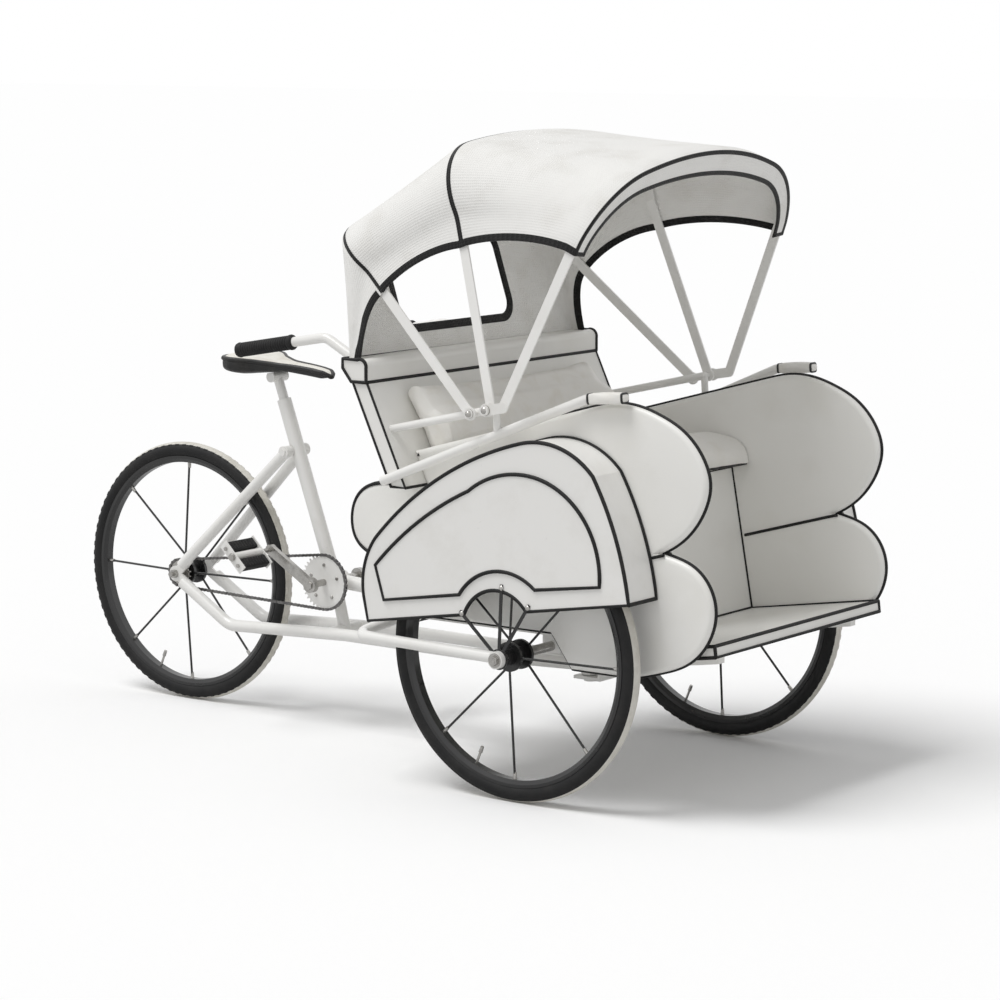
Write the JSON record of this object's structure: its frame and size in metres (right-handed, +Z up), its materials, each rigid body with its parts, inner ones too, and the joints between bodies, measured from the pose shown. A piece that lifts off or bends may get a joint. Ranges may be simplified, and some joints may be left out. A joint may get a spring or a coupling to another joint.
{
  "type": "cycle rickshaw",
  "caption": "Cycle rickshaw with a hooded passenger cabin between two front wheels, steered about a kingpin, and a pedalled rear wheel under a saddle.",
  "frame": {"origin": "on the floor under the middle of the bounding box", "axes": "+X forward towards the footwell, +Y to the left, +Z up"},
  "size_m": [2.3133, 1.102, 1.5833],
  "materials": {
    "tyre_rubber": "moulded rubber with a pale side band",
    "wheel_enamel": "black stove enamel",
    "bright_steel": "bright plated steel",
    "chassis_enamel": "black enamel",
    "black_rubber": "moulded rubber",
    "saddle_leather": "stretched leather",
    "arm_vinyl": "vinyl cloth over foam",
    "cushion_vinyl": "vinyl cloth over foam, black piping",
    "body_enamel": "white enamel with black edge lining",
    "painted_wood": "white paint on wood",
    "mudguard_enamel": "white enamel with a black line",
    "hood_canvas": "woven proofed canvas with black binding",
    "hood_steel": "white enamel",
    "frame_enamel": "white stove enamel"
  },
  "bodies": {
    "rear_frame": {"bottom_bracket": "frame_enamel", "chain": "bright_steel", "lower_rail_left": "frame_enamel", "lower_rail_right": "frame_enamel", "rear_axle": "bright_steel", "saddle": "saddle_leather", "seat_stay_left": "frame_enamel", "seat_stay_right": "frame_enamel", "seat_tube": "frame_enamel", "top_tube": "frame_enamel"},
    "cabin": {"arm_pad_left": "arm_vinyl", "arm_pad_right": "arm_vinyl", "armrest_left": "frame_enamel", "armrest_right": "frame_enamel", "back_cushion": "cushion_vinyl", "back_top_rail": "painted_wood", "bottom_board": "painted_wood", "chassis": "chassis_enamel", "fender_left": "mudguard_enamel", "fender_right": "mudguard_enamel", "fender_stay_left": "wheel_enamel", "fender_stay_right": "wheel_enamel", "floor_board": "painted_wood", "front_axle": "bright_steel", "grip_left": "black_rubber", "grip_right": "black_rubber", "handlebar_left": "frame_enamel", "handlebar_right": "frame_enamel", "hood_bow_rear": "hood_steel", "hood_curtain": "hood_canvas", "hood_rail_left": "hood_steel", "hood_rail_right": "hood_steel", "seat_back": "painted_wood", "seat_box": "painted_wood", "seat_cushion": "cushion_vinyl", "side_panel_left": "body_enamel", "side_panel_right": "body_enamel", "tail_panel": "body_enamel", "wheel_rail_left": "frame_enamel", "wheel_rail_right": "frame_enamel", "yoke": "chassis_enamel"},
    "front_wheel_right": {"front_wheel_right_spoked": "wheel_enamel", "front_wheel_right_tyre": "tyre_rubber"},
    "front_wheel_left": {"front_wheel_left_spoked": "wheel_enamel", "front_wheel_left_tyre": "tyre_rubber"},
    "rear_wheel": {"rear_sprocket": "bright_steel", "rear_wheel_spoked": "wheel_enamel", "rear_wheel_tyre": "tyre_rubber"},
    "crank": {"chainring": "bright_steel", "crank_arms": "bright_steel"},
    "pedal_right": {"pedal_right": "bright_steel", "pedal_rubbers_right": "black_rubber"},
    "pedal_left": {"pedal_left": "bright_steel", "pedal_rubbers_left": "black_rubber"},
    "hood_middle": {"hood_bow_middle": "hood_steel", "hood_canvas_rear": "hood_canvas"},
    "hood_front": {"hood_bow_front": "hood_steel", "hood_canvas_front": "hood_canvas", "hood_valance": "hood_canvas"}
  },
  "joints": [
    {"name": "steering", "type": "hinge", "parent": "rear_frame", "child": "cabin", "pos_m": [0.5335, 0, 0.355], "axis": [0, 0, 1], "range_deg": [-35, 35]},
    {"name": "front_wheel_right_spin", "type": "hinge", "parent": "cabin", "child": "front_wheel_right", "pos_m": [0.6335, -0.459, 0.355], "axis": [0, 1, 0], "continuous": true},
    {"name": "front_wheel_left_spin", "type": "hinge", "parent": "cabin", "child": "front_wheel_left", "pos_m": [0.6335, 0.459, 0.355], "axis": [0, 1, 0], "continuous": true},
    {"name": "rear_wheel_spin", "type": "hinge", "parent": "rear_frame", "child": "rear_wheel", "pos_m": [-0.8015, 0, 0.355], "axis": [0, 1, 0], "continuous": true},
    {"name": "crank_spin", "type": "hinge", "parent": "rear_frame", "child": "crank", "pos_m": [-0.2925, 0, 0.38], "axis": [0, 1, 0], "continuous": true},
    {"name": "pedal_right_spin", "type": "hinge", "parent": "crank", "child": "pedal_right", "pos_m": [-0.42793, -0.2, 0.46138], "axis": [0, 1, 0], "continuous": true},
    {"name": "pedal_left_spin", "type": "hinge", "parent": "crank", "child": "pedal_left", "pos_m": [-0.15707, 0.2, 0.29862], "axis": [0, 1, 0], "continuous": true},
    {"name": "hood_middle_fold", "type": "hinge", "parent": "cabin", "child": "hood_middle", "pos_m": [0.5725, 0, 0.94], "axis": [0, -1, 0], "range_deg": [0, 28], "deforming": ["hood_canvas_rear"]},
    {"name": "hood_front_fold", "type": "hinge", "parent": "hood_middle", "child": "hood_front", "pos_m": [0.5725, 0, 0.94], "axis": [0, -1, 0], "range_deg": [0, 38.4], "deforming": ["hood_canvas_front"]}
  ],
  "couplings": [
    {"joint": "crank_spin", "follows": "rear_wheel_spin", "ratio": 0.5},
    {"joint": "hood_front_fold", "follows": "hood_middle_fold", "ratio": 1.37}
  ]
}
